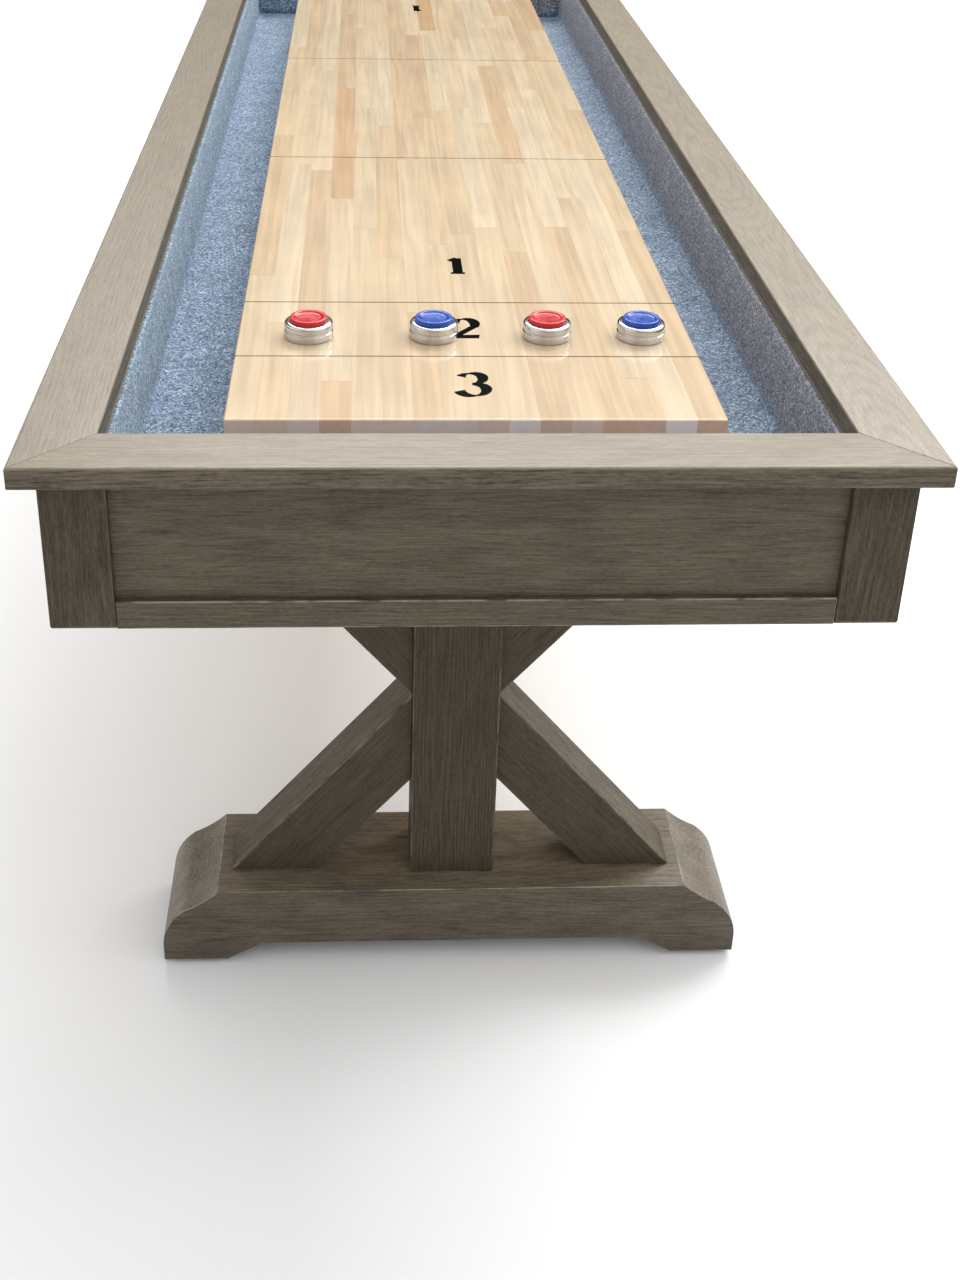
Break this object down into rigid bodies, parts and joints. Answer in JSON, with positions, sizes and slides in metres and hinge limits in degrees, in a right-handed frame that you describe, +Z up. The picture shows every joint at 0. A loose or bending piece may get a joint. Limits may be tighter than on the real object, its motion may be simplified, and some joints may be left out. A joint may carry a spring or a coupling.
{
  "type": "shuffleboard table",
  "caption": "Long table shuffleboard: a lacquered butcher-block playing board in a carpeted gutter, mitred rails, recessed aprons and cross-braced trestles, with sliding pucks.",
  "frame": {"origin": "on the floor, below the middle of the table", "axes": "+Z up; Y along the playing board, -Y towards the near end; X across the table"},
  "size_m": [0.883, 2.743, 0.8845],
  "materials": {
    "rail_oak": "weathered pale finish, wire-brushed oak, satin",
    "apron_oak": "weathered grey-brown finish, wire-brushed oak, matt",
    "trestle_oak": "weathered grey-brown finish, brushed oak, matt",
    "plywood": "birch plywood, clear sealed",
    "gutter_carpet": "heathered blue-grey needle-punch carpet",
    "lacquered_maple": "glued maple strips under thick clear lacquer, gloss",
    "puck_steel": "turned and polished steel",
    "red_cap": "moulded red plastic, gloss",
    "blue_cap": "moulded blue plastic, gloss",
    "zinc_steel": "zinc-plated steel"
  },
  "bodies": {
    "table": {"rail_left": "rail_oak", "rail_right": "rail_oak", "rail_near": "rail_oak", "rail_far": "rail_oak", "mitre_keys": "plywood", "end_stiles": "apron_oak", "side_stiles": "apron_oak", "end_bottom_rails": "apron_oak", "side_bottom_rails": "apron_oak", "end_panels": "apron_oak", "side_panels": "apron_oak", "wall_left": "plywood", "wall_right": "plywood", "wall_near": "plywood", "wall_far": "plywood", "cabinet_floor": "plywood", "cross_bearers": "plywood", "carpet_left": "gutter_carpet", "carpet_right": "gutter_carpet", "carpet_near": "gutter_carpet", "carpet_far": "gutter_carpet", "playfield": "lacquered_maple", "playfield_supports": "plywood", "adjuster_angles": "zinc_steel", "near_foot": "trestle_oak", "near_post": "trestle_oak", "near_lower_braces": "trestle_oak", "near_upper_braces": "trestle_oak", "near_beam": "trestle_oak", "near_lag_bolts": "zinc_steel", "far_foot": "trestle_oak", "far_post": "trestle_oak", "far_lower_braces": "trestle_oak", "far_upper_braces": "trestle_oak", "far_beam": "trestle_oak", "far_lag_bolts": "zinc_steel", "leveller_nuts": "zinc_steel"},
    "adjuster_rod_1": {"adjuster_rod_1": "zinc_steel"},
    "adjuster_rod_2": {"adjuster_rod_2": "zinc_steel"},
    "adjuster_rod_3": {"adjuster_rod_3": "zinc_steel"},
    "leveller_1": {"leveller_1": "zinc_steel"},
    "leveller_2": {"leveller_2": "zinc_steel"},
    "leveller_3": {"leveller_3": "zinc_steel"},
    "leveller_4": {"leveller_4": "zinc_steel"},
    "puck_1": {"puck_1_weight": "puck_steel", "puck_1_cap": "red_cap"},
    "puck_2": {"puck_2_weight": "puck_steel", "puck_2_cap": "blue_cap"},
    "puck_3": {"puck_3_weight": "puck_steel", "puck_3_cap": "red_cap"},
    "puck_4": {"puck_4_weight": "puck_steel", "puck_4_cap": "blue_cap"},
    "puck_5": {"puck_5_weight": "puck_steel", "puck_5_cap": "red_cap"},
    "puck_6": {"puck_6_weight": "puck_steel", "puck_6_cap": "blue_cap"},
    "puck_7": {"puck_7_weight": "puck_steel", "puck_7_cap": "red_cap"},
    "puck_8": {"puck_8_weight": "puck_steel", "puck_8_cap": "blue_cap"}
  },
  "joints": [
    {"name": "adjuster_rod_1_turn", "type": "hinge", "parent": "table", "child": "adjuster_rod_1", "pos_m": [0, -0.618, 0.76225], "axis": [1, 0, 0], "range_deg": [-720, 720]},
    {"name": "adjuster_rod_2_turn", "type": "hinge", "parent": "table", "child": "adjuster_rod_2", "pos_m": [0, 0, 0.76225], "axis": [1, 0, 0], "range_deg": [-720, 720]},
    {"name": "adjuster_rod_3_turn", "type": "hinge", "parent": "table", "child": "adjuster_rod_3", "pos_m": [0, 0.618, 0.76225], "axis": [1, 0, 0], "range_deg": [-720, 720]},
    {"name": "leveller_1_turn", "type": "hinge", "parent": "table", "child": "leveller_1", "pos_m": [-0.333, -1.0115, 0.02], "axis": [0, 0, 1], "range_deg": [-720, 720]},
    {"name": "leveller_2_turn", "type": "hinge", "parent": "table", "child": "leveller_2", "pos_m": [0.333, -1.0115, 0.02], "axis": [0, 0, 1], "range_deg": [-720, 720]},
    {"name": "leveller_3_turn", "type": "hinge", "parent": "table", "child": "leveller_3", "pos_m": [-0.333, 1.0115, 0.02], "axis": [0, 0, 1], "range_deg": [-720, 720]},
    {"name": "leveller_4_turn", "type": "hinge", "parent": "table", "child": "leveller_4", "pos_m": [0.333, 1.0115, 0.02], "axis": [0, 0, 1], "range_deg": [-720, 720]},
    {"name": "puck_1_slide", "type": "slide", "parent": "table", "child": "puck_1", "axis": [0, 1, 0], "range_m": [-0.189, 1.983]},
    {"name": "puck_2_slide", "type": "slide", "parent": "table", "child": "puck_2", "axis": [0, 1, 0], "range_m": [-0.189, 1.983]},
    {"name": "puck_3_slide", "type": "slide", "parent": "table", "child": "puck_3", "axis": [0, 1, 0], "range_m": [-0.189, 1.983]},
    {"name": "puck_4_slide", "type": "slide", "parent": "table", "child": "puck_4", "axis": [0, 1, 0], "range_m": [-0.189, 1.983]},
    {"name": "puck_5_slide", "type": "slide", "parent": "table", "child": "puck_5", "axis": [0, -1, 0], "range_m": [-0.189, 1.983]},
    {"name": "puck_6_slide", "type": "slide", "parent": "table", "child": "puck_6", "axis": [0, -1, 0], "range_m": [-0.189, 1.983]},
    {"name": "puck_7_slide", "type": "slide", "parent": "table", "child": "puck_7", "axis": [0, -1, 0], "range_m": [-0.189, 1.983]},
    {"name": "puck_8_slide", "type": "slide", "parent": "table", "child": "puck_8", "axis": [0, -1, 0], "range_m": [-0.189, 1.983]}
  ]
}
